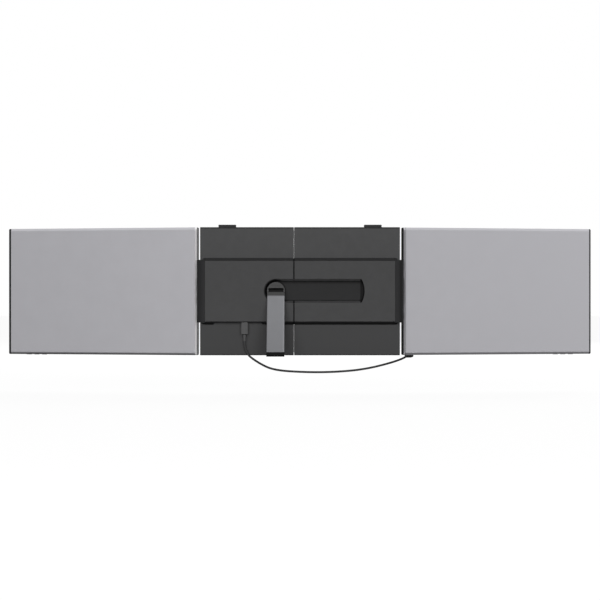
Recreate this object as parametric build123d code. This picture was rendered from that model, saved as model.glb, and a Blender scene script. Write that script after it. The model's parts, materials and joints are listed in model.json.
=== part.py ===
from build123d import *
import math
import os

# Laptop screen extender, in millimetres.
# Origin: middle of the flat face that lies on the laptop's lid.
# +X to the right seen from behind the laptop, +Y towards the user, +Z up.

# ---- driving sizes ----
frame_height = 205.0
frame_half_width = 159.8
plate_thick = 6.0
seam_x = -9.7
seam_gap = 0.5
plate_edge_chamfer = 0.8
plate_corner = 0.9

housing_half_width = 156.2
housing_height = 106.0
housing_rise = 13.0
housing_slope = 4.8
housing_corner = 2.0
housing_wall = 2.0

slide_plate_height = 196.0
slide_plate_thick = 1.2
slide_plate_corner = 3.0
slide_clearance = 0.3
slide_left_length = 62.0
slide_right_length = 92.0

slot_centre_z = 0.5
slot_clearance = 0.8
slot_flare = 4.0
slot_depth = 8.0
slot_floor_end_x = 96.0
slot_floor_bulge = 0.5
slot_mouth_end_x = 98.0
scoop_reach = 6.0
well_wall = 2.2
tray_thick = 1.5
tray_clearance = 0.3
tray_margin = 0.4
tray_post_x = (-13.0, 18.0)
tray_post_z = 14.0

head_x = -38.3
head_radius = 14.2
head_thick = 2.2
head_gap = 0.2
stem_radius = 6.0
stem_bore_radius = 2.6
swivel_clearance = 0.05
stem_reach = 1.0
clip_gap = 0.3
clip_thick = 0.9
clip_width = 3.0
ear_thick = 2.1
ear_clearance = 0.3
ear_drop = 0.4
window_rise = 4.6
window_corner = 1.6
groove_rise = 7.8
groove_width = 0.7
groove_depth = 0.3
groove_half = 9.5
stand_pin_radius = 1.2
stand_pin_cover = 1.2
leg_length = 127.8
leg_side_step = 0.2
leg_thick = 4.4
leg_start = 10.4
leg_shoulder = 3.9
blade_chamfer = 0.7
tenon_margin = 3.0
tenon_thick = 2.0
tenon_root = 1.0
tenon_length = 12.0
foot_length = 5.8
foot_cap = 2.0
foot_proud = 0.4
foot_rounding = 1.2
leg_rest_tilt = 37.4
barrel_radius = 2.3
tilt_clearance = 0.3

wing_length = 320.4
wing_thick = 10.0
wing_tilt = 12.5
wing_corner = 2.0
wing_inner_corner = 1.0
cover_depth = 3.5
cover_skin = 1.2
cover_bevel_side = 3.6
cover_bevel_outer = 2.4
cover_bevel_drop = 2.6
screen_width = 309.4
screen_height = 174.0
screen_top_border = 7.5
bezel_lip = 0.8
panel_margin = 1.6
panel_thick = 3.2
frame_wall = 1.6
frame_step = 0.5

pivot_x = 162.6
pivot_clear = 0.5
wing_inner_edge = 1.4
left_pivot_y = 4.75
stack_gap = 0.6
right_wing_set_back = 6.0
knuckle_radius = 2.3
hinge_pin_radius = 1.5
hinge_running = 0.05
knuckle_length = 13.0
knuckle_gap = 0.3
hinge_centre_z = 34.0
hinge_sheet = 1.6
hinge_leaf_length = 20.0
leaf_clearance = 0.4
leaf_gap = 0.2
bracket_foot = 14.0
bracket_gap = 0.3
bracket_clearance = 0.25
hinge_cover_half = 50.0
hinge_cover_reach = 0.5
hinge_cover_brim = 1.6
hinge_cover_brim_gap = 0.7
hinge_cover_parting = 0.1
hinge_cover_gap = 0.15
hinge_cover_flat = 1.5
hinge_cover_drop = 0.4
hinge_cover_shoulder = 3.5
hinge_cover_front = 4.0
notch_reach = 8.0
notch_margin = 1.0
notch_clearance = 0.2
swing_clearance = 0.5

hook_x = (-116.4, 116.6)
hook_width = 28.0
hook_stem_width = 20.0
hook_stem_length = 40.0
hook_stem_thick = 2.0
hook_rise = 3.9
hook_reach = 9.0
hook_lip = 1.5
hook_arm_thick = 2.2
hook_corner = 1.0
hook_seat_gap = 0.1
hook_lip_thick = 2.0
hook_lip_margin = 1.0
hook_pad_half = 12.0
hook_pad_thick = 0.8
hook_pad_margin = 0.4
hook_clearance = 0.3

bay_left_x = -138.0
bay_right_x = -60.6
bay_wall_z = -49.8
bay_slant = 1.5
port_x = -88.5
second_port_x = -116.5
port_y = -12.5
socket_width = 9.0
socket_thick = 3.2
socket_length = 9.0
socket_wall = 0.3
socket_back = 1.5
socket_tongue_half = 3.3
socket_tongue_thick = 0.7
socket_tongue_inset = 1.0
socket_mouth_step = 0.6
port_clearance = 0.25

plug_width = 11.8
plug_thick = 6.5
plug_corner = 2.2
plug_length = 18.4
plug_gap = 0.4
nose_width = 8.3
nose_thick = 2.5
nose_length = 6.5
nose_wall = 0.3
nose_root = 1.0
relief_length = 11.0
relief_base_radius = 2.6
cord_diameter = 3.4
relief_tip_radius = 2.2
arc_share = 0.45

button_width = 8.0
button_thick = 2.4
button_pitch = 13.0
button_stand = 0.6
button_depth = 3.2
button_clearance = 0.2
button_room = 3.4
button_first = 262.0

board_thick = 1.2
board_gap = 0.3
board_start = 60.0
board_length = 140.0
board_width = 20.0
board_edge = 15.0
hub_board_left = -136.0
hub_board_right = -64.0
hub_board_width = 20.0
post_radius = 2.5
post_inset = 5.0

# how far a cutting block runs past what it cuts
past = 1.0
far = 400.0

# ---- sizes that follow ----
frame_half_height = frame_height / 2
slot_floor_half = head_radius + slot_clearance
slot_mouth_half = slot_floor_half + slot_flare
leg_width = 2 * (head_radius - leg_side_step)
plate_back_y = -plate_thick
housing_face_y = plate_back_y - housing_rise
slot_floor_y = housing_face_y + slot_depth
tray_under_y = slot_floor_y + tray_thick
seam_left = seam_x - seam_gap / 2
seam_right = seam_x + seam_gap / 2
face_half_width = housing_half_width - housing_slope
housing_taper = math.degrees(math.atan(housing_slope / housing_rise))
slide_pocket_half = slide_plate_height / 2 + slide_clearance
slide_plate_y = plate_back_y / 2
left_panel_y = left_pivot_y - pivot_clear
right_pivot_y = left_pivot_y + (wing_thick + stack_gap + right_wing_set_back) / 2
right_panel_y = right_pivot_y - pivot_clear - wing_thick - stack_gap
tilt_axis_y = slot_floor_y - head_gap - head_thick - barrel_radius - tilt_clearance
tilt_axis_z = slot_centre_z
panel_z = frame_half_height - screen_top_border - screen_height / 2
frame_tray_depth = wing_thick - cover_depth
screen_centre_x = wing_inner_edge + wing_length / 2
bracket_x = frame_half_width + bracket_gap
hub_board_low = bay_wall_z + housing_wall + board_gap
hub_board_y = port_y + socket_thick / 2


def block(x0, x1, y0, y1, z0, z1):
    """A box between two corners."""
    size = Box(abs(x1 - x0), abs(y1 - y0), abs(z1 - z0))
    return Pos((x0 + x1) / 2, (y0 + y1) / 2, (z0 + z1) / 2) * size


def rod_z(x, y, z0, z1, radius):
    """A round bar along Z."""
    return Pos(x, y, (z0 + z1) / 2) * Cylinder(radius, abs(z1 - z0))


def rod_y(x, z, y0, y1, radius):
    """A round bar along Y."""
    bar = Rot(X=90) * Cylinder(radius, abs(y1 - y0))
    return Pos(x, (y0 + y1) / 2, z) * bar


def rod_x(y, z, x0, x1, radius):
    """A round bar along X."""
    bar = Rot(Y=90) * Cylinder(radius, abs(x1 - x0))
    return Pos((x0 + x1) / 2, y, z) * bar


def back_plane(y, x=0.0, z=0.0):
    """A sketch plane that faces the back: its x is +X, its y is +Z and its normal is -Y."""
    return Plane(origin=(x, y, z), x_dir=(1, 0, 0), z_dir=(0, -1, 0))


def edges_at(solid, axis, place, along=None, within=0.01):
    """The edges whose middle lies at a place on an axis, and that run along another axis."""
    found = []
    for edge in solid.edges():
        middle = edge.center()
        here = {"X": middle.X, "Y": middle.Y, "Z": middle.Z}[axis]
        if abs(here - place) > within:
            continue
        if along is not None:
            run = edge.tangent_at(0.5)
            lean = {"X": run.X, "Y": run.Y, "Z": run.Z}[along]
            if abs(lean) < 0.99:
                continue
        found.append(edge)
    return found


# ---- centre frame ----


def plate(x_outer, x_seam, pocket_length, hook_at):
    """One half of the flat centre frame, with the slide pocket and the hook's channel."""
    body = block(x_outer, x_seam, plate_back_y, 0, -frame_half_height, frame_half_height)
    body = fillet(body.edges().filter_by(Axis.Y), plate_corner)
    body = chamfer(edges_at(body, "Y", plate_back_y), plate_edge_chamfer)
    inward = math.copysign(pocket_length, x_outer - x_seam)
    pocket_thick = slide_plate_thick + 2 * slide_clearance
    body -= block(
        x_seam,
        x_seam + inward,
        slide_plate_y - pocket_thick / 2,
        slide_plate_y + pocket_thick / 2,
        -slide_pocket_half,
        slide_pocket_half,
    )
    channel_half = hook_stem_width / 2 + hook_clearance
    channel_thick = hook_stem_thick + 2 * hook_clearance
    body -= block(
        hook_at - channel_half,
        hook_at + channel_half,
        slide_plate_y - channel_thick / 2,
        slide_plate_y + channel_thick / 2,
        frame_half_height - hook_stem_length - 2 * hook_clearance,
        frame_half_height,
    )
    return body


def housing_block(grow, rise):
    """The raised housing's whole tapered form, grown or shrunk by a wall."""
    width = 2 * (housing_half_width + grow)
    height = housing_height + 2 * grow
    outline = back_plane(plate_back_y) * RectangleRounded(width, height, housing_corner)
    return extrude(outline, rise, taper=housing_taper)


def slot_outline(y, half, end_x, bulge):
    """The stow slot's outline at one depth: round at the head, a shallow arc at the scoop."""
    with BuildSketch(back_plane(y, z=slot_centre_z)) as sketch:
        with BuildLine():
            Line((head_x, half), (end_x, half))
            ThreePointArc((end_x, half), (end_x + bulge, 0), (end_x, -half))
            Line((end_x, -half), (head_x, -half))
            ThreePointArc((head_x, -half), (head_x - half, 0), (head_x, half))
        make_face()
    return sketch.sketch


def slot_hollow():
    """The space of the stow slot, from just behind the face to the tray."""
    flare = slot_flare / slot_depth
    mouth = slot_outline(
        housing_face_y - past,
        slot_mouth_half + past * flare,
        slot_mouth_end_x,
        scoop_reach,
    )
    floor = slot_outline(slot_floor_y, slot_floor_half, slot_floor_end_x, slot_floor_bulge)
    return loft([mouth, floor])


def well_block():
    """The outside of the wall around the stow slot."""
    outline = slot_outline(
        slot_floor_y,
        slot_mouth_half + well_wall,
        slot_mouth_end_x + well_wall,
        scoop_reach,
    )
    return extrude(outline, slot_depth - housing_wall / 2)


def hinge_cover_solid(side):
    """The rounded cover over one wing's hinges, before it is hollowed."""
    inner = face_half_width + swing_clearance
    outer = pivot_x + hinge_cover_reach
    edge = frame_half_width + hinge_cover_gap
    front = plate_back_y + hinge_cover_front
    top = housing_face_y + hinge_cover_drop
    flat = inner + hinge_cover_flat
    brim = outer + hinge_cover_brim
    brim_y = plate_back_y - hinge_cover_brim_gap
    shoulder = plate_back_y - hinge_cover_shoulder
    with BuildSketch(Plane.XY) as sketch:
        with BuildLine():
            Line((inner, plate_back_y), (inner, top))
            Line((inner, top), (flat, top))
            RadiusArc((flat, top), (brim, shoulder), inner - brim)
            Line((brim, shoulder), (brim, brim_y))
            Line((brim, brim_y), (outer, brim_y))
            Line((outer, brim_y), (outer, front))
            Line((outer, front), (edge, front))
            Line((edge, front), (edge, plate_back_y))
            Line((edge, plate_back_y), (inner, plate_back_y))
        make_face()
    body = extrude(sketch.sketch, hinge_cover_half, both=True)
    if side < 0:
        body = mirror(body, Plane.YZ)
    return body


def hinge_bracket(side, pivot_y):
    """The fixed leaf of both hinges on one side, with a knuckle at each."""
    root = face_half_width - bracket_foot
    end = bracket_x + hinge_sheet
    half = hinge_centre_z
    body = block(root, end, plate_back_y - hinge_sheet, plate_back_y, -half, half)
    for z in (-1, 1):
        low = z * (half - knuckle_length)
        high = z * half
        body += block(bracket_x, end, plate_back_y - hinge_sheet, pivot_y, low, high)
        body += rod_z(pivot_x, pivot_y, low, high, knuckle_radius)
        body -= rod_z(pivot_x, pivot_y, low - z * past, high + z * past, hinge_pin_radius)
    if side < 0:
        body = mirror(body, Plane.YZ)
    return body


def hinge_pins(side, pivot_y):
    """The two pins of one side's hinges."""
    pins = []
    for z in (-1, 1):
        low = z * (hinge_centre_z - knuckle_length)
        high = z * (hinge_centre_z + knuckle_gap + knuckle_length)
        pins.append(rod_z(side * pivot_x, pivot_y, low, high, hinge_pin_radius))
    return Compound(children=pins)


def hinge_cover(side):
    """The rounded hinge cover, hollowed for the bracket."""
    clear = bracket_clearance
    room = block(
        face_half_width,
        bracket_x + hinge_sheet + clear,
        plate_back_y - hinge_sheet - clear,
        plate_back_y + hinge_cover_front + past,
        -hinge_centre_z - clear,
        hinge_centre_z + clear,
    )
    if side < 0:
        room = mirror(room, Plane.YZ)
    return hinge_cover_solid(side) - room


def housing_half(side):
    """One half of the raised housing: hollow, with its share of the stow slot."""
    body = housing_block(0, housing_rise)
    room = housing_block(-housing_wall, housing_rise - housing_wall)
    well = well_block()
    body -= room - well
    body -= slot_hollow()
    under = block(
        head_x - slot_mouth_half - 2 * well_wall,
        housing_half_width,
        plate_back_y,
        slot_floor_y + tray_clearance / 2,
        slot_centre_z - slot_mouth_half - well_wall - past,
        slot_centre_z + slot_mouth_half + well_wall + past,
    )
    body -= under & room
    cut = swing_clearance - hinge_cover_parting
    back = housing_face_y - past
    for end in (-1, 1):
        body -= block(
            end * (face_half_width + cut),
            end * (housing_half_width + past),
            plate_back_y + past,
            back,
            -hinge_cover_half - cut,
            hinge_cover_half + cut,
        )
    if side < 0:
        return body & block(-far, seam_left, plate_back_y + past, back, -far, far)
    return body & block(seam_right, far, plate_back_y + past, back, -far, far)


def port_bay():
    """The recess along the lower edge of the left half, where the sockets open."""
    depth = housing_rise + past
    with BuildSketch(back_plane(plate_back_y)) as sketch:
        with BuildLine():
            Polyline(
                (bay_left_x, -housing_height),
                (bay_left_x, bay_wall_z - bay_slant),
                (bay_left_x + bay_slant, bay_wall_z),
                (bay_right_x - bay_slant, bay_wall_z),
                (bay_right_x, bay_wall_z - bay_slant),
                (bay_right_x, -housing_height),
                close=True,
            )
        make_face()
    return extrude(sketch.sketch, depth)


def socket_space(x, grow):
    """The rounded outline that a socket fills, grown by a clearance."""
    outline = SlotOverall(socket_width + 2 * grow, socket_thick + 2 * grow)
    low = bay_wall_z - socket_mouth_step
    place = Plane(origin=(x, port_y, low), x_dir=(1, 0, 0), z_dir=(0, 0, 1))
    return extrude(place * outline, socket_length + socket_mouth_step + grow)


def left_housing():
    """The left half, with the port bay, its wall and the two socket openings."""
    body = housing_half(-1) - port_bay()
    wall = block(
        bay_left_x - housing_wall,
        bay_right_x + housing_wall,
        plate_back_y,
        housing_face_y + past,
        bay_wall_z,
        bay_wall_z + housing_wall,
    )
    body += wall & housing_block(0, housing_rise)
    for x in (port_x, second_port_x):
        body -= socket_space(x, port_clearance)
    return body


def socket(x):
    """A USB-C socket's metal shell with its tongue."""
    outline = SlotOverall(socket_width, socket_thick)
    place = Plane(origin=(x, port_y, bay_wall_z), x_dir=(1, 0, 0), z_dir=(0, 0, 1))
    shell = extrude(place * outline, socket_length)
    hollow = SlotOverall(socket_width - 2 * socket_wall, socket_thick - 2 * socket_wall)
    shell -= extrude(place * hollow, socket_length - socket_back)
    shell += block(
        x - socket_tongue_half,
        x + socket_tongue_half,
        port_y - socket_tongue_thick / 2,
        port_y + socket_tongue_thick / 2,
        bay_wall_z + socket_tongue_inset,
        bay_wall_z + socket_length,
    )
    return shell


# ---- slide ----


def slide_plate():
    """The steel plate that both halves of the frame run on."""
    body = block(
        seam_left - slide_left_length,
        seam_right + slide_right_length - slide_clearance,
        slide_plate_y - slide_plate_thick / 2,
        slide_plate_y + slide_plate_thick / 2,
        -slide_plate_height / 2,
        slide_plate_height / 2,
    )
    return fillet(body.edges().filter_by(Axis.Y), slide_plate_corner)


def stow_tray():
    """The slot's floor: one strip across both halves."""
    half = slot_mouth_half + well_wall - tray_margin
    right = slot_mouth_end_x + scoop_reach - tray_margin
    with BuildSketch(back_plane(tray_under_y, z=slot_centre_z)) as sketch:
        with BuildLine():
            Line((head_x, half), (right, half))
            Line((right, half), (right, -half))
            Line((right, -half), (head_x, -half))
            ThreePointArc((head_x, -half), (head_x - half, 0), (head_x, half))
        make_face()
    body = extrude(sketch.sketch, tray_thick)
    return body - rod_y(head_x, tilt_axis_z, -far, 0, stem_radius + swivel_clearance)


def tray_posts():
    """Four posts that carry the tray off the left plate."""
    posts = []
    for x in tray_post_x:
        for z in (-tray_post_z, tray_post_z):
            place = (head_x + x, slot_centre_z + z)
            posts.append(rod_y(*place, plate_back_y, tray_under_y, post_radius))
    return Compound(children=posts)


def hub_board():
    """The circuit board that the sockets stand on."""
    return block(
        hub_board_left,
        hub_board_right,
        hub_board_y,
        hub_board_y + board_thick,
        hub_board_low,
        hub_board_low + hub_board_width,
    )


def hub_posts():
    """Four posts that carry the hub board off the left plate."""
    posts = []
    for x in (hub_board_left + post_inset, hub_board_right - post_inset):
        for z in (post_inset, hub_board_width - post_inset):
            place = (x, hub_board_low + z)
            posts.append(rod_y(*place, plate_back_y, hub_board_y + board_thick, post_radius))
    return Compound(children=posts)


# ---- kickstand ----


def stand_head():
    """The turntable: a disc with a stem, and a dome with a window over the leg's barrel."""
    base_y = slot_floor_y - head_gap
    top_y = base_y - head_thick
    dome_y = tilt_axis_y - leg_thick / 2
    under = tilt_axis_z - barrel_radius - ear_drop
    window_top = tilt_axis_z + window_rise
    window_tall = window_top - under + 2 * window_corner
    dome = rod_y(head_x, tilt_axis_z, base_y, dome_y, head_radius)
    dome -= block(-far, far, dome_y - past, base_y + past, under - far, under)
    place = back_plane(top_y, x=head_x, z=window_top - window_tall / 2)
    window = RectangleRounded(2 * (head_radius - ear_thick), window_tall, window_corner)
    dome -= extrude(place * window, head_radius)
    dome -= block(
        head_x - groove_half,
        head_x + groove_half,
        dome_y - past,
        dome_y + groove_depth,
        tilt_axis_z + groove_rise,
        tilt_axis_z + groove_rise + groove_width,
    )
    body = rod_y(head_x, tilt_axis_z, base_y, top_y, head_radius) + dome
    body += rod_y(head_x, tilt_axis_z, base_y, tray_under_y + stem_reach, stem_radius)
    body -= rod_y(head_x, tilt_axis_z, top_y - past, 0, stem_bore_radius)
    body -= rod_x(tilt_axis_y, tilt_axis_z, -far, far, stand_pin_radius)
    return body


def stand_clip():
    """The ring that holds the turntable's stem under the tray."""
    under = tray_under_y + clip_gap
    ring = rod_y(head_x, tilt_axis_z, under, under + clip_thick, stem_radius + clip_width)
    return ring - rod_y(head_x, tilt_axis_z, -far, far, stem_radius)


def stand_pin():
    """The pin that the leg tilts on."""
    half = head_radius - stand_pin_cover
    return rod_x(tilt_axis_y, tilt_axis_z, head_x - half, head_x + half, stand_pin_radius)


def at_rest_tilt(body):
    """Turns a leg piece from its stowed line to the rest tilt, about the pin."""
    axis = Axis((head_x, tilt_axis_y, tilt_axis_z), (1, 0, 0))
    return body.rotate(axis, -leg_rest_tilt)


def leg_span(half, near, far, thick):
    """A flat bar that runs down from the pin, centred on it in depth."""
    return block(
        head_x - half,
        head_x + half,
        tilt_axis_y - thick / 2,
        tilt_axis_y + thick / 2,
        tilt_axis_z - far,
        tilt_axis_z - near,
    )


def root_tenon():
    """The tongue of the leg's root that the blade slides over."""
    half = leg_width / 2 - tenon_margin
    return leg_span(half, leg_start - tenon_root, leg_start + tenon_length, tenon_thick)


def foot_tenon():
    """The tongue of the blade that the foot is moulded over."""
    half = leg_width / 2 - tenon_margin
    near = leg_length - foot_length - tenon_root
    return leg_span(half, near, leg_length - foot_cap, tenon_thick)


def leg_knuckle():
    """The black root of the leg: the barrel on the pin and the block the blade is fixed to."""
    half = head_radius - ear_thick - ear_clearance
    body = rod_x(tilt_axis_y, tilt_axis_z, head_x - half, head_x + half, barrel_radius)
    body += leg_span(half, 0, leg_shoulder, leg_thick)
    body += leg_span(leg_width / 2, leg_shoulder, leg_start, leg_thick)
    body += root_tenon()
    body -= rod_x(tilt_axis_y, tilt_axis_z, -far, far, stand_pin_radius + swivel_clearance)
    return at_rest_tilt(body)


def leg_blade():
    """The aluminium blade, socketed over the knuckle and into the foot."""
    body = leg_span(leg_width / 2, leg_start, leg_length - foot_length, leg_thick)
    long_edges = edges_at(body, "Y", tilt_axis_y - leg_thick / 2, along="Z")
    body = chamfer(long_edges, blade_chamfer)
    return at_rest_tilt(body + foot_tenon() - root_tenon())


def leg_foot():
    """The rubber foot on the blade's end."""
    near = leg_length - foot_length
    body = leg_span(leg_width / 2, near, leg_length, leg_thick + foot_proud)
    body = fillet(edges_at(body, "Z", tilt_axis_z - leg_length, along="X"), foot_rounding)
    return at_rest_tilt(body - foot_tenon())


# ---- wings, drawn flat with the pivot on the Z axis and the far end at +X ----


def wing_cover(rear):
    """The aluminium back cover: a shallow tray with a bevel all round."""
    front = rear + cover_depth
    return bevelled_tray(rear, front, 0) - bevelled_tray(rear, front + past, cover_skin)


def bevelled_tray(y0, y1, skin):
    """The wing's bevelled slab between two depths, shrunk by a skin."""
    left = wing_inner_edge + skin
    right = wing_inner_edge + wing_length - skin
    half = frame_half_height - skin
    y_back = y0 + skin
    y_full = y_back + cover_bevel_drop
    flat_left = left + cover_bevel_side
    flat_right = right - cover_bevel_outer
    flat = RectangleRounded(flat_right - flat_left, 2 * (half - cover_bevel_side), wing_corner)
    full = RectangleRounded(right - left, 2 * half, wing_corner)
    full_plane = back_plane(y_full, x=(left + right) / 2)
    body = loft([back_plane(y_back, x=(flat_left + flat_right) / 2) * flat, full_plane * full])
    return body + extrude(full_plane * full, y_full - y1)


def wing_frame(rear, knuckle_room):
    """The black front frame: a tray open at the back, with the screen's window."""
    left = wing_inner_edge - frame_step
    right = wing_inner_edge + wing_length
    back = rear + cover_depth
    place = back_plane(back, x=(left + right) / 2)
    outline = RectangleRounded(right - left, frame_height, wing_corner)
    body = extrude(place * outline, -frame_tray_depth)
    wide = right - left - 2 * frame_wall - 2 * frame_step
    inside = RectangleRounded(wide, frame_height - 2 * frame_wall, wing_inner_corner)
    body -= extrude(place * inside, bezel_lip - frame_tray_depth)
    body -= block(
        screen_centre_x - screen_width / 2,
        screen_centre_x + screen_width / 2,
        back,
        rear + wing_thick + past,
        panel_z - screen_height / 2,
        panel_z + screen_height / 2,
    )
    body -= knuckle_room
    for x in button_places():
        body -= button_block(rear, x, button_clearance, frame_wall + button_room)
    return body


def button_places():
    """Where the three keys stand along the wing's lower edge."""
    return [button_first + i * button_pitch for i in range(3)]


def button_block(rear, x, grow, deep):
    """A key in the lower edge of the frame."""
    y = rear + cover_depth + frame_tray_depth / 2
    return block(
        x - button_width / 2 - grow,
        x + button_width / 2 + grow,
        y - button_thick / 2 - grow,
        y + button_thick / 2 + grow,
        -frame_half_height - button_stand - grow,
        -frame_half_height + deep,
    )


def screen_panel(rear):
    """The display module behind the window."""
    face = rear + wing_thick - bezel_lip
    half_width = screen_width / 2 + panel_margin
    half_height = screen_height / 2 + panel_margin
    return block(
        screen_centre_x - half_width,
        screen_centre_x + half_width,
        face - panel_thick,
        face,
        panel_z - half_height,
        panel_z + half_height,
    )


def knuckle_space(rear):
    """The notch that a wing's frame leaves for its hinges."""
    half = hinge_centre_z + knuckle_gap + knuckle_length + notch_margin
    deep = wing_inner_edge + frame_wall + notch_clearance
    back = rear + cover_depth - past
    return block(-notch_reach, deep, back, rear + wing_thick + past, -half, half)


def wing_leaf(rear):
    """The moving leaf of both hinges, with a knuckle at each and a long flat inside the wing."""
    seat = rear + wing_thick - bezel_lip - panel_thick - leaf_gap
    back = seat - hinge_sheet
    half_sheet = hinge_sheet / 2
    low = hinge_centre_z + knuckle_gap
    high = low + knuckle_length
    inside = wing_inner_edge + frame_wall + leaf_clearance
    body = block(inside, inside + hinge_leaf_length, back, seat, -high, high)
    for z in (-1, 1):
        body += rod_z(0, 0, z * low, z * high, knuckle_radius)
        web = (min(back, -half_sheet), max(seat, half_sheet))
        body += block(inside, inside + hinge_sheet, *web, z * low, z * high)
        body += block(0, inside + hinge_sheet, -half_sheet, half_sheet, z * low, z * high)
        body -= rod_z(0, 0, z * (low - past), z * (high + past), hinge_pin_radius + hinge_running)
    return body


def driver_board(rear):
    """The screen's driver board, in the lower border behind the display."""
    face = rear + wing_thick - bezel_lip - panel_thick - board_gap
    low = -frame_half_height + board_edge
    end = board_start + board_length
    return block(board_start, end, face - board_thick, face, low, low + board_width)


def place_wing(body, side, pivot_y):
    """Swings a flat wing piece to its rest angle and sets it at its pivot."""
    turned = body.rotate(Axis.Z, wing_tilt)
    if side < 0:
        turned = mirror(turned, Plane.YZ)
    return Pos(side * pivot_x, pivot_y, 0) * turned


# ---- hooks ----


def hook(x):
    """A hook that slides up out of the frame, with its arm over the lid."""
    top = frame_half_height + hook_rise
    under = top - hook_arm_thick
    half = hook_width / 2
    body = block(x - half, x + half, plate_back_y, hook_reach, under, top)
    body += block(x - half, x + half, plate_back_y, 0, frame_half_height + hook_seat_gap, top)
    body = fillet(edges_at(body, "Z", top, along="Y"), hook_corner)
    body += block(
        x - half + hook_lip_margin,
        x + half - hook_lip_margin,
        hook_reach - hook_lip_thick,
        hook_reach,
        under - hook_lip,
        top - hook_corner,
    )
    body += block(
        x - hook_stem_width / 2,
        x + hook_stem_width / 2,
        slide_plate_y - hook_stem_thick / 2,
        slide_plate_y + hook_stem_thick / 2,
        frame_half_height - hook_stem_length,
        top - hook_corner,
    )
    return body


def hook_pad(x):
    """The soft pad under a hook's arm."""
    under = frame_half_height + hook_rise - hook_arm_thick
    return block(
        x - hook_pad_half,
        x + hook_pad_half,
        hook_pad_margin,
        hook_reach - hook_lip_thick - hook_pad_margin,
        under - hook_pad_thick,
        under,
    )


# ---- cord ----


def cord_route():
    """The corners of the cord's route, from its strain relief to the far plug."""
    start_z = bay_wall_z - plug_gap - plug_length - relief_length
    return [
        (port_x, port_y, start_z),
        (port_x, port_y, -98.0),
        (-70.5, -11.0, -113.5),
        (-37.0, -8.0, -127.5),
        (8.0, -3.0, -131.5),
        (57.0, 5.0, -129.6),
        (103.0, 16.0, -123.6),
        (144.0, 35.0, -113.5),
        (170.0, 66.0, -107.0),
        (177.0, 96.0, -106.6),
    ]


def cord_tube():
    """The cord as straight runs and tangent arcs, with its radii printed."""
    points = [Vector(*p) for p in cord_route()]
    radii = []
    for before, here, after in zip(points, points[1:], points[2:]):
        turn = math.radians((here - before).get_angle(after - here))
        shorter = min((here - before).length, (after - here).length)
        radii.append(arc_share * shorter / math.tan(turn / 2))
    print("cord radii", [round(r, 1) for r in radii])
    path = FilletPolyline(*points, radius=radii)
    ring = Plane(origin=points[0], z_dir=points[1] - points[0]) * Circle(cord_diameter / 2)
    tube = sweep(ring, path=path)
    share = tube.volume / (ring.area * path.length)
    print("cord length", round(path.length, 1), "volume share", round(share, 4))
    return tube


def plug_pieces(origin, forward, across):
    """A USB-C plug's metal nose, body and strain relief, from the nose's root backwards."""
    place = Plane(origin=origin, x_dir=across, z_dir=forward)
    nose = extrude(place * SlotOverall(nose_width, nose_thick), nose_length)
    mouth = SlotOverall(nose_width - 2 * nose_wall, nose_thick - 2 * nose_wall)
    nose -= extrude(place.offset(nose_root) * mouth, nose_length)
    body = extrude(place * RectangleRounded(plug_width, plug_thick, plug_corner), -plug_length)
    back = place.offset(-plug_length)
    tip = back.offset(-relief_length)
    relief = loft([back * Circle(relief_base_radius), tip * Circle(relief_tip_radius)])
    return nose, body, relief


# ---- writing ----


def main():
    """Builds every piece and writes each to its own file."""
    os.makedirs("parts", exist_ok=True)
    pieces = {}
    pieces["left_plate"] = plate(-frame_half_width, seam_left, slide_left_length, hook_x[0])
    pieces["right_plate"] = plate(frame_half_width, seam_right, slide_right_length, hook_x[1])
    pieces["left_housing"] = left_housing()
    pieces["right_housing"] = housing_half(1)
    pieces["slide_plate"] = slide_plate()
    pieces["stow_tray"] = stow_tray()
    pieces["tray_posts"] = tray_posts()
    pieces["hub_board"] = hub_board()
    pieces["hub_posts"] = hub_posts()
    pieces["data_socket"] = socket(port_x)
    pieces["power_socket"] = socket(second_port_x)
    pieces["stand_head"] = stand_head()
    pieces["stand_clip"] = stand_clip()
    pieces["stand_pin"] = stand_pin()
    pieces["leg_knuckle"] = leg_knuckle()
    pieces["leg_blade"] = leg_blade()
    pieces["leg_foot"] = leg_foot()
    wings = (("left", -1, left_pivot_y, left_panel_y), ("right", 1, right_pivot_y, right_panel_y))
    for name, side, pivot_y, panel_y in wings:
        rear = panel_y - wing_thick
        room = knuckle_space(rear)
        pieces[name + "_hinge_bracket"] = hinge_bracket(side, pivot_y)
        pieces[name + "_hinge_pins"] = hinge_pins(side, pivot_y)
        pieces[name + "_hinge_cover"] = hinge_cover(side)
        wing = {
            "back_cover": wing_cover(rear),
            "screen_frame": wing_frame(rear, room),
            "screen_panel": screen_panel(rear),
            "hinge_leaf": wing_leaf(rear),
            "driver_board": driver_board(rear),
        }
        for label, x in zip(("power_key", "plus_key", "minus_key"), button_places()):
            wing[label] = button_block(rear, x, 0, button_depth)
        for part_name, body in wing.items():
            pieces[name + "_" + part_name] = place_wing(body, side, pivot_y)
    for name, x in zip(("left", "right"), hook_x):
        pieces[name + "_hook"] = hook(x)
        pieces[name + "_hook_pad"] = hook_pad(x)
    near = plug_pieces((port_x, port_y, bay_wall_z - plug_gap), (0, 0, 1), (1, 0, 0))
    route = cord_route()
    tail = Vector(*route[-1])
    ahead = (tail - Vector(*route[-2])).normalized()
    far_root = tail + ahead * (plug_length + relief_length)
    side_way = ahead.cross(Vector(0, 0, 1)).normalized()
    far = plug_pieces(far_root, ahead, side_way)
    for label, group in (("near", near), ("far", far)):
        pieces[label + "_plug_nose"], pieces[label + "_plug"], pieces[label + "_relief"] = group
    pieces["cord"] = cord_tube()
    for name, body in pieces.items():
        body.label = name
        export_step(body, os.path.join("parts", name + ".step"))


main()
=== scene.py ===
import json
import math

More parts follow.
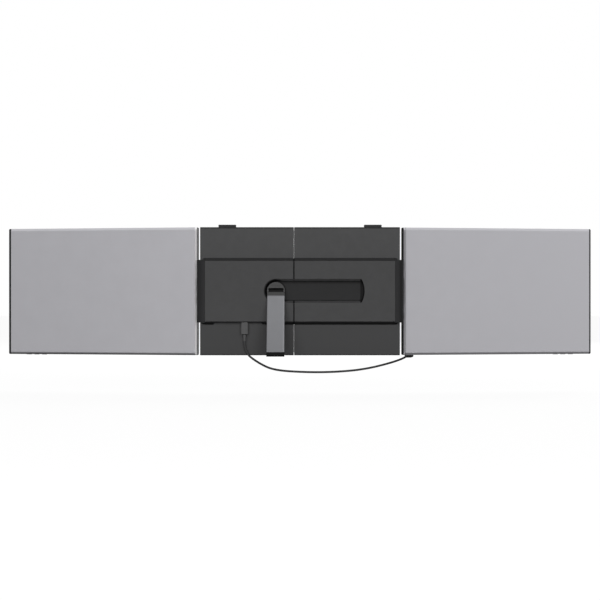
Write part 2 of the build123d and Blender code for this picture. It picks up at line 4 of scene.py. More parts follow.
import bpy
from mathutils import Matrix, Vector


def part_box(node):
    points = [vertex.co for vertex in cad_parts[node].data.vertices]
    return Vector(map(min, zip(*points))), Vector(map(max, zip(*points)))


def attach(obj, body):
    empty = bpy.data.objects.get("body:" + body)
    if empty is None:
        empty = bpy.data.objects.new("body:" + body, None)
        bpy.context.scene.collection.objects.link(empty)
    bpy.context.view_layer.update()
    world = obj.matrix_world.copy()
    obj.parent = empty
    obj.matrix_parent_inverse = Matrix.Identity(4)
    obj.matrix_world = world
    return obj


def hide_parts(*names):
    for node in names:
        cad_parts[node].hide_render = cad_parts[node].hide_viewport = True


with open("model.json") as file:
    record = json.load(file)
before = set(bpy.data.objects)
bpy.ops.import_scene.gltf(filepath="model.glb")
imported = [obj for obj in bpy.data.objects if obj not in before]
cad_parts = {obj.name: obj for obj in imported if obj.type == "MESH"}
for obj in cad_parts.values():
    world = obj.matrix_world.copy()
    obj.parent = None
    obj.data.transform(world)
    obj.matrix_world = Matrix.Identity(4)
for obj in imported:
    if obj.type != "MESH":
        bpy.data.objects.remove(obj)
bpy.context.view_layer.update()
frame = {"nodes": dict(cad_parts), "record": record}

# Laptop screen extender. Metres throughout, seen from behind the laptop, camera looking along +Y.

nodes = frame["nodes"]
scene = bpy.context.scene


def collect(obj):
    scene.collection.objects.link(obj)
    return obj


cameraView = {
    "place": (0.0, -2.946, -0.014),
    "pitch": 90,  # degrees from straight down
    "lensMm": 110.3,
    "sensorMm": 36.0,
    "clip": (0.05, 40.0),
}


def makeCamera(view):
    data = bpy.data.cameras.new("viewCamera")
    data.lens = view["lensMm"]
    data.sensor_width = view["sensorMm"]
    data.clip_start, data.clip_end = view["clip"]
    camera = collect(bpy.data.objects.new("viewCamera", data))
    camera.location = view["place"]
    camera.rotation_euler = (math.radians(view["pitch"]), 0, 0)
    scene.camera = camera


makeCamera(cameraView)
print("camera placed")

cordPlan = {
    "diameter": 0.0034,
    "length": 0.3367,
    "smoothness": 24,  # steps along each stretch
    "roundness": 6,
    "route": [
        (-0.0885, -0.0125, -0.0796),
        (-0.0885, -0.0125, -0.0980),
        (-0.0659, -0.0110, -0.1148),
        (-0.0420, -0.0080, -0.1262),
        (0.0080, -0.0030, -0.1297),
        (0.0570, 0.0050, -0.1296),
        (0.1030, 0.0160, -0.1258),
        (0.1440, 0.0350, -0.1169),
        (0.1700, 0.0660, -0.1095),
        (0.1770, 0.0960, -0.1066),
    ],
}


def makeCord(plan):
    curve = bpy.data.curves.new("cableLead", "CURVE")
    curve.dimensions = "3D"
    spline = curve.splines.new("NURBS")
    spline.points.add(len(plan["route"]) - 1)
    for point, place in zip(spline.points, plan["route"]):
        point.co = (*place, 1.0)
        point.radius = plan["diameter"] / 2  # the bevel is one metre, so this is half the lead's width
    spline.order_u = 3
    spline.use_endpoint_u = True
    spline.resolution_u = plan["smoothness"]
    curve.bevel_depth = 1.0
    curve.bevel_resolution = plan["roundness"]
    curve.use_fill_caps = True
    return collect(bpy.data.objects.new("cableLead", curve))


cableLead = makeCord(cordPlan)
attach(cableLead, "left_half")
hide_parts("cord")
print("cord laid")

far = 1.0  # past the object in any direction
everywhere = (-far, far)
hardEdge = 0.0001  # how softly a painted edge fades, where it should look sharp
noiseSpan = (0.3, 0.7)  # the values that a noise texture mostly has
deepShade = (0.003, 0.003, 0.003)  # where hardly any light reaches
bevelSamples = 4


def startMaterial(name):
    material = bpy.data.materials.new(name)
    material.use_nodes = True
    tree = material.node_tree
    shader = tree.nodes["Principled BSDF"]
    return material, tree, shader


def objectPoint(tree):
    return tree.nodes.new("ShaderNodeTexCoord").outputs["Object"]


def mathNode(tree, operation, *values):
    node = tree.nodes.new("ShaderNodeMath")
    node.operation = operation
    for slot, value in zip(node.inputs, values):
        if isinstance(value, float):
            slot.default_value = value
        else:
            tree.links.new(value, slot)
    return node.outputs["Value"]


def vectorNode(tree, operation, first, second=None):
    node = tree.nodes.new("ShaderNodeVectorMath")
    node.operation = operation
    tree.links.new(first, node.inputs[0])
    if second is not None:
        node.inputs[1].default_value = second
    return node.outputs["Value" if operation in ("LENGTH", "DOT_PRODUCT") else "Vector"]


def splitNode(tree, vector):
    parts = tree.nodes.new("ShaderNodeSeparateXYZ")
    tree.links.new(vector, parts.inputs["Vector"])
    return parts.outputs


def rangeNode(tree, value, before, after):
    spread = tree.nodes.new("ShaderNodeMapRange")
    spread.inputs["From Min"].default_value, spread.inputs["From Max"].default_value = before
    spread.inputs["To Min"].default_value, spread.inputs["To Max"].default_value = after
    tree.links.new(value, spread.inputs["Value"])
    return spread.outputs["Result"]


def noiseAt(tree, point, grainSize, detail, roughness=0.5):
    noise = tree.nodes.new("ShaderNodeTexNoise")
    noise.inputs["Scale"].default_value = 1.0 / grainSize
    noise.inputs["Detail"].default_value = detail
    noise.inputs["Roughness"].default_value = roughness
    tree.links.new(point, noise.inputs["Vector"])
    return noise.outputs["Fac"]


def toneRamp(tree, factor, darkColour, lightColour, low=0.35, high=0.65):
    ramp = tree.nodes.new("ShaderNodeValToRGB")
    dark, light = ramp.color_ramp.elements
    dark.position = low
    light.position = high
    dark.color = (*darkColour, 1)
    light.color = (*lightColour, 1)
    tree.links.new(factor, ramp.inputs["Fac"])
    return ramp.outputs["Color"]


def bumpFrom(tree, height, depth, strength, normal=None):
    bump = tree.nodes.new("ShaderNodeBump")
    bump.inputs["Distance"].default_value = depth
    bump.inputs["Strength"].default_value = strength
    tree.links.new(height, bump.inputs["Height"])
    if normal is not None:
        tree.links.new(normal, bump.inputs["Normal"])
    return bump.outputs["Normal"]


def roundedEdge(tree, radius):
    edge = tree.nodes.new("ShaderNodeBevel")
    edge.samples = bevelSamples
    edge.inputs["Radius"].default_value = radius
    return edge.outputs["Normal"]


def shade(colour, share):
    return tuple(min(1.0, channel * share) for channel in colour)


def finishLook(colour, **changes):
    look = {
        "colour": colour,
        "mottle": 0.03,
        "mottleSize": 0.012,
        "mottleDetail": 4.0,
        "grainSize": 0.00035,
        "grainDetail": 2.0,
        "grainUneven": 0.6,
        "grainDepth": 0.00006,
        "grainStrength": 0.5,
        "roughness": 0.5,
        "roughSpread": 0.05,
        "metal": 0.0,
        "specular": 0.5,
        "edgeRadius": 0.0004,
    }
    look.update(changes)
    return look


finishLooks = {
    "frame_shell": finishLook((0.069, 0.069, 0.07), roughness=0.6, specular=0.15),
    "hinge_shell": finishLook((0.022, 0.022, 0.023), roughness=0.6, specular=0.3),
    "tray_plastic": finishLook((0.0215, 0.0215, 0.022), roughness=0.6, specular=0.3),
    "stand_plastic": finishLook((0.073, 0.073, 0.073), roughness=0.55, specular=0.2),
    "leg_aluminium": finishLook((0.262, 0.265, 0.279), metal=0.6, roughness=0.4, grainSize=0.00025),
    "foot_rubber": finishLook((0.0105, 0.0105, 0.0105), roughness=0.8, specular=0.1, grainSize=0.0006),
    "cover_aluminium": finishLook((0.635, 0.63, 0.665), metal=0.7, roughness=0.38, mottle=0.012,
                                  mottleSize=0.03, grainSize=0.00025, grainStrength=0.35),
    "bezel_plastic": finishLook((0.012, 0.012, 0.013), roughness=0.5),
    "key_plastic": finishLook((0.015, 0.015, 0.016), roughness=0.4),
    "hook_plastic": finishLook((0.035, 0.035, 0.036), roughness=0.6, specular=0.2),
    "plug_rubber": finishLook((0.103, 0.103, 0.104), roughness=0.6, specular=0.15),
    "cord_jacket": finishLook((0.055, 0.055, 0.056), roughness=0.6, specular=0.1),
    "hinge_steel": finishLook((0.35, 0.35, 0.36), metal=1.0, roughness=0.35, grainSize=0.0008),
    "slide_steel": finishLook((0.36, 0.36, 0.37), metal=0.6, roughness=0.4, grainSize=0.0012),
    "socket_steel": finishLook((0.62, 0.62, 0.62), metal=1.0, roughness=0.22, grainSize=0.0006),
}


def grainyFinish(name, look):
    # a moulded, blasted or rubbery surface: fine grain, faint mottling, softened edges
    material, tree, shader = startMaterial(name)
    point = objectPoint(tree)
    mottle = noiseAt(tree, point, look["mottleSize"], look["mottleDetail"])
    grain = noiseAt(tree, point, look["grainSize"], look["grainDetail"], look["grainUneven"])
    colour = toneRamp(tree, mottle, shade(look["colour"], 1 - look["mottle"]),
                      shade(look["colour"], 1 + look["mottle"]))
    tree.links.new(colour, shader.inputs["Base Color"])
    smoothest = look["roughness"] - look["roughSpread"]
    roughest = look["roughness"] + look["roughSpread"]
    tree.links.new(rangeNode(tree, grain, noiseSpan, (smoothest, roughest)), shader.inputs["Roughness"])
    shader.inputs["Metallic"].default_value = look["metal"]
    shader.inputs["Specular IOR Level"].default_value = look["specular"]
    normal = roundedEdge(tree, look["edgeRadius"])
    normal = bumpFrom(tree, grain, look["grainDepth"], look["grainStrength"], normal)
    tree.links.new(normal, shader.inputs["Normal"])
    return material


def paintOver(material, share, colour):
    # one more colour where the share is one
    tree = material.node_tree
    shader = tree.nodes["Principled BSDF"]
    under = shader.inputs["Base Color"].links[0].from_socket
    paint = tree.nodes.new("ShaderNodeMix")
    paint.data_type = "RGBA"
    paint.inputs["B"].default_value = (*colour, 1)
    tree.links.new(share, paint.inputs["Factor"])
    tree.links.new(under, paint.inputs["A"])
    tree.links.new(paint.outputs["Result"], shader.inputs["Base Color"])


def shareBelow(tree, value, full, none):
    # one up to the first limit, nought from the second
    return rangeNode(tree, value, (full, none), (1.0, 0.0))


def shareInBox(tree, soft, x=everywhere, y=everywhere, z=everywhere):
    # one well inside a box of the frame, nought outside it
    low, high = (Vector(corner) for corner in zip(x, y, z))
    offset = vectorNode(tree, "SUBTRACT", objectPoint(tree), (low + high) / 2)
    offset = vectorNode(tree, "ABSOLUTE", offset)
    past = splitNode(tree, vectorNode(tree, "SUBTRACT", offset, (high - low) / 2))
    furthest = mathNode(tree, "MAXIMUM", past["X"], past["Y"])
    furthest = mathNode(tree, "MAXIMUM", furthest, past["Z"])
    return shareBelow(tree, furthest, -soft, 0.0)


def shareNearAxis(tree, centre, radii):
    # one up to the first radius round an axis that runs along Y, nought from the second
    offset = vectorNode(tree, "SUBTRACT", objectPoint(tree), centre)
    across = vectorNode(tree, "MULTIPLY", offset, (1, 0, 1))
    return shareBelow(tree, vectorNode(tree, "LENGTH", across), *radii)


def allBut(tree, share):
    return mathNode(tree, "SUBTRACT", 1.0, share)


headAxis = (-0.0383, -0.016, 0.0005)  # the turntable's middle, and the stow slot's left end
seamAt = -0.0097  # where the two halves meet

legRootPlan = {
    "barrelDrop": 0.0019,  # from the turntable's middle to the barrel's lower side
}


def legRootFinish(look, plan):
    # the root's block is as the turntable, and its barrel in the window is painted near-black as painted
    # shade in the window
    material = grainyFinish("leg root", look)
    barrel = shareInBox(material.node_tree, hardEdge, z=(headAxis[2] - plan["barrelDrop"], far))
    paintOver(material, barrel, deepShade)
    return material


headPlan = {
    "windowHalf": 0.01215,
    "windowTop": 0.00465,
    "windowDrop": 0.01,
    "skin": 0.0002,  # the dome's top stays as it is
    "edgeSoft": 0.00005,
}


def headFinish(look, plan):
    # the window's sides are painted near-black as painted shade in the window
    material = grainyFinish("turntable", look)
    window = shareInBox(
        material.node_tree, plan["edgeSoft"],
        x=(headAxis[0] - plan["windowHalf"], headAxis[0] + plan["windowHalf"]),
        y=(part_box("stand_head")[0][1] + plan["skin"], 0),
        z=(headAxis[2] - plan["windowDrop"], headAxis[2] + plan["windowTop"]))
    paintOver(material, window, deepShade)
    return material


trayPlan = {
    "lipFoot": 0.0105,
    "lipSoft": 0.0050,
    "wellRadii": (0.0150, 0.0165),
}


def trayFinish(look, plan):
    # painted shade: the tray is painted black where it passes under the turntable's edge, with a painted
    # shadow below the slot's upper lip
    material = grainyFinish("stow tray", look)
    tree = material.node_tree
    lip = shareInBox(tree, plan["lipSoft"], z=(headAxis[2] + plan["lipFoot"], far))
    paintOver(material, lip, deepShade)
    paintOver(material, shareNearAxis(tree, headAxis, plan["wellRadii"]), deepShade)
    return material


legPlan = {
    "footShare": 0.84,
    "litBand": 0.0026,
    "litSoft": 0.0004,
    "litShare": 1.12,
    "rootBand": 0.0016,
    "rootSoft": 0.0008,
    "rootShare": 0.5,
}


def legFinish(look, plan):
    # the bar is painted darker towards its foot as the light falls off, its right edge has a painted
    # highlight, and its root has painted shade
    material = grainyFinish("leg bar", look)
    tree = material.node_tree
    low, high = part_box("leg_blade")
    fade = shareInBox(tree, high[2] - low[2], z=(-far, high[2]))
    lit = shareInBox(tree, plan["litSoft"], x=(high[0] - plan["litBand"], far))
    root = shareInBox(tree, plan["rootSoft"], z=(high[2] - plan["rootBand"], far))
    paintOver(material, fade, shade(look["colour"], plan["footShare"]))
    paintOver(material, lit, shade(look["colour"], plan["litShare"]))
    paintOver(material, root, shade(look["colour"], plan["rootShare"]))
    return material


housingPlan = {
    "skin": 0.0004,  # the raised face stays as it is
    "rimDepth": 0.0125,
    "slopeShare": 0.52,
    "middleHalf": (0.145, 0.045),  # across and up, inside the slopes
    "rimFoot": 0.0085,
    "rimSoft": 0.0012,
    "seamHalf": 0.0013,
    "seamSoft": 0.0006,
    "slotHalf": 0.0196,
    "slotEnd": 0.106,
    "lipShare": 1.35,
    "slotFoot": 0.0058,
    "slotSoft": 0.0014,
    "tongueEnd": 0.0962,
    "scoopAxis": (0.0709, -0.016, 0.0005),
    "scoopRadii": (0.0298, 0.0308),
    "ringRadii": (0.0168, 0.0202),
}


def housingFinish(look, plan):
    # painted shade on the slopes round the edge, a painted highlight on the stow slot's upper lip,
    # painted shadow at the slopes' feet
    material = grainyFinish("housing shell", look)
    tree = material.node_tree
    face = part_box("left_housing")[0][1]
    middleX, middleZ = plan["middleHalf"]
    slotUp = (headAxis[2] - plan["slotHalf"], headAxis[2] + plan["slotHalf"])
    under = (face + plan["skin"], 0)

    # painted shade on the slopes round the raised face
    rim = shareInBox(tree, hardEdge, y=(face + plan["skin"], face + plan["rimDepth"]))
    middle = shareInBox(tree, hardEdge, x=(-middleX, middleX), z=(-middleZ, middleZ))
    slopes = mathNode(tree, "MULTIPLY", rim, allBut(tree, middle))
    paintOver(material, slopes, shade(look["colour"], plan["slopeShare"]))
    # painted shadow at the foot of the lower slope
    rimFoot = shareInBox(tree, plan["rimSoft"], y=(face + plan["rimFoot"], 0), z=(-far, -middleZ))
    paintOver(material, rimFoot, deepShade)
    # painted shade in the seam between the halves
    seam = shareInBox(tree, plan["seamSoft"], x=(seamAt - plan["seamHalf"], seamAt + plan["seamHalf"]))
    paintOver(material, seam, deepShade)

    # painted highlight on the slot's upper lip
    upperHalf = (headAxis[2], slotUp[1])
    lip = shareInBox(tree, hardEdge, x=(headAxis[0], plan["slotEnd"]), y=under, z=upperHalf)
    paintOver(material, lip, shade(look["colour"], plan["lipShare"]))
    # painted shadow along the slot's foot
    slotFoot = shareInBox(
        tree, plan["slotSoft"],
        x=(headAxis[0] - plan["slotHalf"], plan["slotEnd"]),
        y=(face + plan["slotFoot"], 0),
        z=slotUp)
    paintOver(material, slotFoot, deepShade)

    scoop = shareInBox(tree, hardEdge, x=(plan["tongueEnd"], plan["slotEnd"]), y=under, z=slotUp)
    paintOver(material, scoop, finishLooks["tray_plastic"]["colour"])
    # painted shade beyond the scoop's curved end
    outer = allBut(tree, shareNearAxis(tree, plan["scoopAxis"], plan["scoopRadii"]))
    paintOver(material, mathNode(tree, "MULTIPLY", scoop, outer), deepShade)
    # painted shade: a black ring round the turntable for the deep gap there
    paintOver(material, shareNearAxis(tree, headAxis, plan["ringRadii"]), deepShade)
    return material


slidePlan = {
    "seamHalf": 0.0013,
    "seamHighlightColour": (0.85, 0.85, 0.85),
    "behindShadeHalf": 0.0525,  # up and down from the middle, as far as the housing covers it
}


def slideFinish(look, plan):
    # a painted highlight where the halves meet, and painted shade where the housing covers it
    material = grainyFinish("slide steel", look)
    tree = material.node_tree
    across = (seamAt - plan["seamHalf"], seamAt + plan["seamHalf"])
    paintOver(material, shareInBox(tree, hardEdge, x=across), plan["seamHighlightColour"])
    behindShade = shareInBox(tree, hardEdge, x=across, z=(-plan["behindShadeHalf"], plan["behindShadeHalf"]))
    paintOver(material, behindShade, deepShade)
    return material


platePlan = {
    "topShare": 1.15,
    "bottomShare": 0.88,
    "housingShade": [  # from and to, across and up
        (-0.1530, 0.1530, 0.0450, 0.0537),
        (-0.1530, -0.1380, -0.0541, -0.0505),
        (-0.0560, 0.1530, -0.0541, -0.0505),
    ],
    "shadeDepth": 0.0016,
    "shadeSoft": 0.0012,
    "rimAt": 0.1003,
    "rimSoft": 0.0003,
    "rimShare": 0.6,
    "edgeAt": 0.1590,
    "edgeSoft": 0.0002,
    "edgeColour": (0.008, 0.008, 0.008),
    "seamHalf": 0.0012,
    "seamSoft": 0.0003,
    "seamShare": 2.3,
}


def plateFinish(look, plan):
    # painted shade on the rims and outer edges and round the housing, painted lighter at the top than
    # the bottom, and a painted highlight down the two edges at the seam
    colour = look["colour"]
    material = grainyFinish("plate shell", {**look, "colour": shade(colour, plan["topShare"])})
    tree = material.node_tree
    rimAt = plan["rimAt"]
    edgeAt = plan["edgeAt"]
    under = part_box("left_plate")[0][1] + plan["shadeDepth"]
    # painted light: darker towards the bottom than the lighter top
    paintOver(material, shareInBox(tree, 2 * rimAt, z=(-far, rimAt)), shade(colour, plan["bottomShare"]))
    # painted shadows round the housing
    for left, right, bottom, top in plan["housingShade"]:
        band = shareInBox(tree, plan["shadeSoft"], x=(left, right), y=(-far, under), z=(bottom, top))
        paintOver(material, band, deepShade)
    # painted shade on the top and bottom rims
    rims = allBut(tree, shareInBox(tree, plan["rimSoft"], z=(-rimAt, rimAt)))
    paintOver(material, rims, shade(colour, plan["rimShare"]))
    # painted shade on the outer edges beside the gaps
    edges = allBut(tree, shareInBox(tree, plan["edgeSoft"], x=(-edgeAt, edgeAt)))
    paintOver(material, edges, plan["edgeColour"])
    # painted highlight down the seam edges
    seam = shareInBox(tree, plan["seamSoft"], x=(seamAt - plan["seamHalf"], seamAt + plan["seamHalf"]))
    paintOver(material, seam, shade(colour, plan["seamShare"]))
    return material


def endShare(tree, piece, atLow, band, soft):
    # one at the piece's left or right end, nought further in than the band
    low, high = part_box(piece)
    inner = (low[0] + band, far) if atLow else (-far, high[0] - band)
    return allBut(tree, shareInBox(tree, soft, x=inner))


coverPlan = {
    "endSoft": 0.0007,
    "endShare": 0.03,
    "leftEndBand": 0.0034,
    "rightEndBand": 0.0025,
    "leftFootBand": 0.0022,
    "leftFootShare": 0.4,
    "leftBrightBand": 0.0036,
    "leftBrightShare": 1.57,
    "rightOutwardShare": 1.11,
    "rightBevelShadeReach": (0.0033, 0.0058),  # in from the right cover's inner end
    "rightBevelShadeShare": 0.66,
    "rightInnerBand": 0.0012,
}


def leftCoverFinish(look, plan):
    # the outer end and the foot are painted dark as in shade, and the inner bevel has a painted
    # highlight
    material = grainyFinish("left cover", look)
    tree = material.node_tree
    piece = "left_back_cover"
    soft = plan["endSoft"]
    foot = shareInBox(tree, soft, z=(-far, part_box(piece)[0][2] + plan["leftFootBand"]))
    paintOver(material, foot, shade(look["colour"], plan["leftFootShare"]))
    outer = endShare(tree, piece, True, plan["leftEndBand"], soft)
    paintOver(material, outer, shade(look["colour"], plan["endShare"]))
    bright = endShare(tree, piece, False, plan["leftBrightBand"], soft)
    paintOver(material, bright, shade(look["colour"], plan["leftBrightShare"]))
    return material


def rightCoverFinish(look, plan):
    # painted paler outwards as the light falls, a painted shade line along the inner bevel, and both
    # ends painted dark as in shade
    material = grainyFinish("right cover", look)
    tree = material.node_tree
    piece = "right_back_cover"
    soft = plan["endSoft"]
    low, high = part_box(piece)
    # painted light: paler towards the outer end
    outward = shareInBox(tree, high[0] - low[0], x=(low[0], far))
    paintOver(material, outward, shade(look["colour"], plan["rightOutwardShare"]))
    bevelShade = shareInBox(tree, soft, x=[low[0] + reach for reach in plan["rightBevelShadeReach"]])
    paintOver(material, bevelShade, shade(look["colour"], plan["rightBevelShadeShare"]))
    # painted shade on the inner end
    paintOver(material, endShare(tree, piece, True, plan["rightInnerBand"], soft), deepShade)
    outer = endShare(tree, piece, False, plan["rightEndBand"], soft)
    paintOver(material, outer, shade(look["colour"], plan["endShare"]))
    return material


hingePlan = {  # each side's band and how softly it fades
    "left": (0.0008, 0.0012),
    "right": (0.0040, 0.0030),
}


def hingeCoverFinish(look, plan, side):
    # the cover is painted black towards its outer edge as painted shade
    material = grainyFinish(side + " hinge shell", look)
    dark = endShare(material.node_tree, side + "_hinge_cover", side == "left", *plan[side])
    paintOver(material, dark, deepShade)
    return material


reliefPlan = {
    "ribStep": 0.0016,
    "ribDepth": 0.00015,
    "ribStrength": 0.8,
    "ringAt": 0.0044,  # from the relief's middle towards its plug
    "axes": {"near_relief": (0, 0, 1), "far_relief": (0.25, 0.96, -0.03)},
}


def reliefFinish(look, plan, piece):
    # moulded ribs round the strain relief, and a painted shade line where it meets its plug
    material = grainyFinish(piece.replace("_", " ") + " rubber", look)
    tree = material.node_tree
    shader = tree.nodes["Principled BSDF"]
    low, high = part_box(piece)
    offset = vectorNode(tree, "SUBTRACT", objectPoint(tree), (Vector(low) + Vector(high)) / 2)
    along = vectorNode(tree, "DOT_PRODUCT", offset, Vector(plan["axes"][piece]).normalized())
    ribs = mathNode(tree, "SINE", mathNode(tree, "MULTIPLY", along, math.tau / plan["ribStep"]))
    under = shader.inputs["Normal"].links[0].from_socket
    ribbed = bumpFrom(tree, ribs, plan["ribDepth"], plan["ribStrength"], under)
    tree.links.new(ribbed, shader.inputs["Normal"])
    paintOver(material, mathNode(tree, "GREATER_THAN", along, plan["ringAt"]), deepShade)
    return material


boardPlan = {
    "trackScale": 420.0,
    "edgeColour": (0.03, 0.17, 0.08),
    "maskColour": (0.012, 0.09, 0.045),
    "edgeSpan": (0.04, 0.09),
    "trackDepth": 0.00005,
    "trackStrength": 0.5,
    "roughness": 0.35,
    "coat": 0.5,
}


def boardFinish(plan):
    # solder mask over raised copper tracks
    material, tree, shader = startMaterial("circuit board")
    tracks = tree.nodes.new("ShaderNodeTexVoronoi")
    tracks.feature = "DISTANCE_TO_EDGE"
    tracks.inputs["Scale"].default_value = plan["trackScale"]
    tree.links.new(objectPoint(tree), tracks.inputs["Vector"])
    toEdge = tracks.outputs["Distance"]
    colour = toneRamp(tree, toEdge, plan["edgeColour"], plan["maskColour"], *plan["edgeSpan"])
    tree.links.new(colour, shader.inputs["Base Color"])
    raised = bumpFrom(tree, toEdge, plan["trackDepth"], plan["trackStrength"])
    tree.links.new(raised, shader.inputs["Normal"])
    shader.inputs["Roughness"].default_value = plan["roughness"]
    shader.inputs["Coat Weight"].default_value = plan["coat"]
    return material


screenPlan = {
    "picture": (0.011, 0.0115, 0.013),
    "pictureHalf": (0.492, 1.0, 0.486),  # as shares of the panel's box, from its middle
    "border": (0.003, 0.003, 0.003),
    "smearSize": 0.05,
    "smearDetail": 5.0,
    "smearShare": 1.25,
    "roughness": (0.14, 0.2),
    "coat": 0.6,
    "coatRoughness": 0.08,
}


def screenFinish(plan):
    # switched-off display under its glass: a grey-black picture in a black border
    material, tree, shader = startMaterial("screen glass")
    smear = noiseAt(tree, objectPoint(tree), plan["smearSize"], plan["smearDetail"])
    picture = toneRamp(tree, smear, plan["picture"], shade(plan["picture"], plan["smearShare"]))
    tree.links.new(picture, shader.inputs["Base Color"])
    share = tree.nodes.new("ShaderNodeTexCoord").outputs["Generated"]
    offset = vectorNode(tree, "ABSOLUTE", vectorNode(tree, "SUBTRACT", share, (0.5, 0.5, 0.5)))
    past = splitNode(tree, vectorNode(tree, "SUBTRACT", offset, plan["pictureHalf"]))
    furthest = mathNode(tree, "MAXIMUM", past["X"], past["Z"])
    paintOver(material, mathNode(tree, "GREATER_THAN", furthest, 0.0), plan["border"])
    tree.links.new(rangeNode(tree, smear, noiseSpan, plan["roughness"]), shader.inputs["Roughness"])
    shader.inputs["Coat Weight"].default_value = plan["coat"]
    shader.inputs["Coat Roughness"].default_value = plan["coatRoughness"]
    return material


def dress(obj, finish):
    obj.data.materials.clear()
    obj.data.materials.append(finish)


finishes = {slot: grainyFinish(slot.replace("_", " "), look) for slot, look in finishLooks.items()}
finishes["circuit_board"] = boardFinish(boardPlan)
finishes["screen_glass"] = screenFinish(screenPlan)
slotOf = {row["node"]: row["material_slot"] for row in frame["record"]["subparts"]}
for nodeName, obj in nodes.items():
    dress(obj, finishes[slotOf[nodeName]])
dress(cableLead, finishes["cord_jacket"])

dress(nodes["leg_knuckle"], legRootFinish(finishLooks["stand_plastic"], legRootPlan))
dress(nodes["stand_head"], headFinish(finishLooks["stand_plastic"], headPlan))
dress(nodes["stow_tray"], trayFinish(finishLooks["tray_plastic"], trayPlan))
dress(nodes["leg_blade"], legFinish(finishLooks["leg_aluminium"], legPlan))
dress(nodes["slide_plate"], slideFinish(finishLooks["slide_steel"], slidePlan))
dress(nodes["left_back_cover"], leftCoverFinish(finishLooks["cover_aluminium"], coverPlan))
dress(nodes["right_back_cover"], rightCoverFinish(finishLooks["cover_aluminium"], coverPlan))
for piece in reliefPlan["axes"]:
    dress(nodes[piece], reliefFinish(finishLooks["plug_rubber"], reliefPlan, piece))
housingShell = housingFinish(finishLooks["frame_shell"], housingPlan)
plateShell = plateFinish(finishLooks["frame_shell"], platePlan)
for side in ("left", "right"):
    dress(nodes[side + "_housing"], housingShell)
    dress(nodes[side + "_plate"], plateShell)
    hingeCover = nodes[side + "_hinge_cover"]
    dress(hingeCover, hingeCoverFinish(finishLooks["hinge_shell"], hingePlan, side))
    hingeCover.visible_glossy = False  # the wing's bevel mirrors the dome past it
print("finishes laid on", len(slotOf), "pieces")

whiteLight = (1, 1, 1, 1)

floorPlan = {
    "level": -0.16,
    "half": 14.0,  # of its side
    "colour": (0.08, 0.08, 0.08),
    "cloudSize": 0.4,
    "cloudDetail": 2.0,
    "cloudShare": 0.995,
    "roughness": 0.9,
    "specular": 0.1,
    "glow": 0.93,
}


def makeFloor(plan):
    mesh = bpy.data.meshes.new("studioFloor")
    half = plan["half"]
    corners = ((-half, -half), (half, -half), (half, half), (-half, half))
    mesh.from_pydata([(x, y, plan["level"]) for x, y in corners], [], [(0, 1, 2, 3)])
    floor = collect(bpy.data.objects.new("studioFloor", mesh))
    material, tree, shader = startMaterial("studio floor")
    cloud = noiseAt(tree, objectPoint(tree), plan["cloudSize"], plan["cloudDetail"])
    colour = toneRamp(tree, cloud, shade(plan["colour"], plan["cloudShare"]), plan["colour"])
    tree.links.new(colour, shader.inputs["Base Color"])
    shader.inputs["Roughness"].default_value = plan["roughness"]
    shader.inputs["Specular IOR Level"].default_value = plan["specular"]
    shader.inputs["Emission Color"].default_value = whiteLight
    shader.inputs["Emission Strength"].default_value = plan["glow"]
    dress(floor, material)
    floor.visible_diffuse = False
    floor.visible_glossy = False


skyPlan = {  # each is a curve of brightness over the sky
    "matteUpwards": (0.02, 0.09, 0.06),  # from below to above, for what is matte
    "shinyUpwards": (0.03, 0.52, 1.15),  # the same for what shines
    "shinyAcross": (0.55, 0.92, 1.1, 1.02, 1.54, 3.0),  # its share from left to right
    "shinyAway": (1.0, 1.0, 0.7, 0.25, 0.8),  # its share from behind the laptop to the user's side
}


def curveOver(tree, value, levels):
    # a smooth curve through levels spread evenly over -1 to 1
    curve = tree.nodes.new("ShaderNodeFloatCurve")
    points = curve.mapping.curves[0].points
    steps = len(levels) - 1
    for step in range(1, steps):
        points.new(step / steps, levels[step])
    points[0].location = (0.0, levels[0])
    points[steps].location = (1.0, levels[steps])
    curve.mapping.update()
    tree.links.new(rangeNode(tree, value, (-1.0, 1.0), (0.0, 1.0)), curve.inputs["Value"])
    return curve.outputs["Value"]


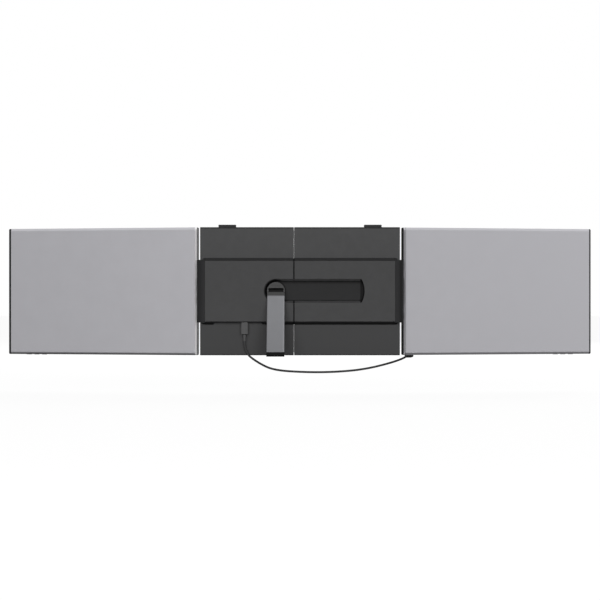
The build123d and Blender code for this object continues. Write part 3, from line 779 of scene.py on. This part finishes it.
def makeLight(tree, strength=None):
    light = tree.nodes.new("ShaderNodeBackground")
    light.inputs["Color"].default_value = whiteLight
    if strength is not None:
        tree.links.new(strength, light.inputs["Strength"])
    return light.outputs["Background"]


def mixLight(tree, first, second, share):
    mix = tree.nodes.new("ShaderNodeMixShader")
    tree.links.new(share, mix.inputs["Fac"])
    tree.links.new(first, mix.inputs[1])
    tree.links.new(second, mix.inputs[2])
    return mix.outputs["Shader"]


def makeSky(plan):
    # white to the eye, one dome for what shines and a dimmer one for what is matte
    world = bpy.data.worlds.new("studioSky")
    scene.world = world
    world.use_nodes = True
    tree = world.node_tree
    tree.nodes.clear()
    out = tree.nodes.new("ShaderNodeOutputWorld")
    toward = splitNode(tree, tree.nodes.new("ShaderNodeTexCoord").outputs["Generated"])
    matte = curveOver(tree, toward["Z"], plan["matteUpwards"])
    shiny = curveOver(tree, toward["Z"], plan["shinyUpwards"])
    for axis, levels in (("X", plan["shinyAcross"]), ("Y", plan["shinyAway"])):
        shiny = mathNode(tree, "MULTIPLY", shiny, curveOver(tree, toward[axis], levels))
    path = tree.nodes.new("ShaderNodeLightPath")
    cast = mixLight(tree, makeLight(tree, matte), makeLight(tree, shiny), path.outputs["Is Glossy Ray"])
    whole = mixLight(tree, cast, makeLight(tree), path.outputs["Is Camera Ray"])
    tree.links.new(whole, out.inputs["Surface"])


lampPlans = {
    "keyPanel": {"place": (-0.1, -3.4, 0.1), "size": 2.8, "watts": 160.0},
    "userPanel": {"place": (0.8, 2.6, 1.6), "size": 1.6, "watts": 80.0},
}


def makeLamp(name, plan):
    data = bpy.data.lights.new(name, "AREA")
    data.shape = "SQUARE"
    data.size = plan["size"]
    data.energy = plan["watts"]
    lamp = collect(bpy.data.objects.new(name, data))
    lamp.location = plan["place"]
    lamp.rotation_euler = (-lamp.location).to_track_quat("-Z", "Y").to_euler()  # at the origin
    lamp.visible_glossy = False  # shiny pieces mirror the dome alone


makeFloor(floorPlan)
makeSky(skyPlan)
for lampName, lampPlan in lampPlans.items():
    makeLamp(lampName, lampPlan)
scene.view_settings.view_transform = "Standard"
scene.view_settings.look = "None"
print("studio lit")
